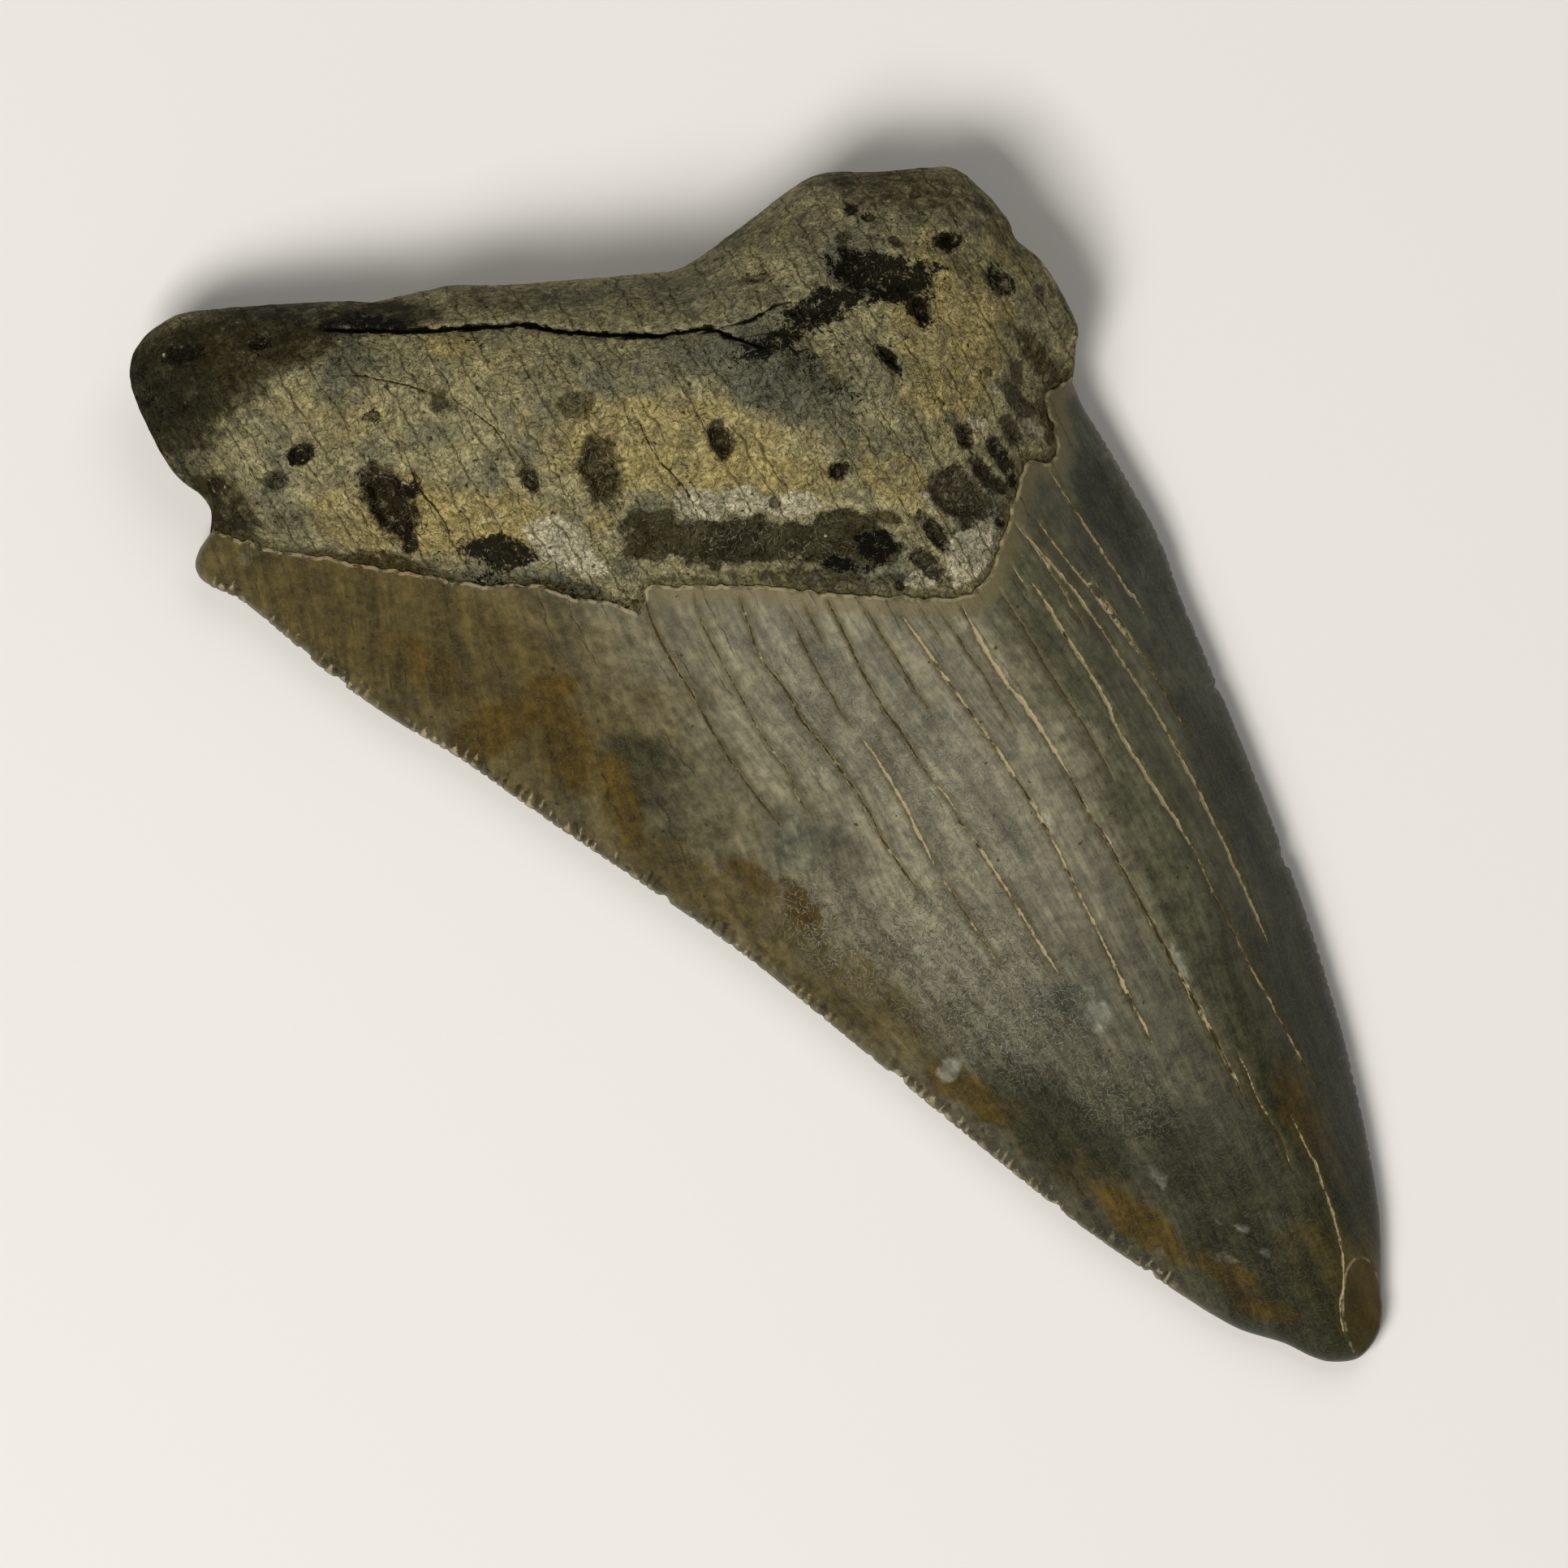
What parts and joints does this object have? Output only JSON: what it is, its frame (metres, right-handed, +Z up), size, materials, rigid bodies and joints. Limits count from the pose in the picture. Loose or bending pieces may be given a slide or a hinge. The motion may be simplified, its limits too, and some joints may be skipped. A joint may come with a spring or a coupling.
{
  "type": "fossil megalodon tooth",
  "caption": "Fossil megalodon shark tooth lying on its flat side, with a porous two-lobed root, a domed enamel crown and serrated cutting edges.",
  "frame": {"origin": "centre of the tooth's box in plan, on the surface that it lies on", "axes": "+Y from the crown's tip to the root, +X towards the short root lobe, +Z up out of the domed inner (lingual) face"},
  "size_m": [0.0622, 0.1052, 0.0224],
  "materials": {
    "fossil_tooth": "mineralised tooth: dull pitted yellow-grey root, satin grey-olive enamel crown with brown stains and fine cracks"
  },
  "bodies": {
    "root": {"tooth": "fossil_tooth"}
  },
  "joints": []
}
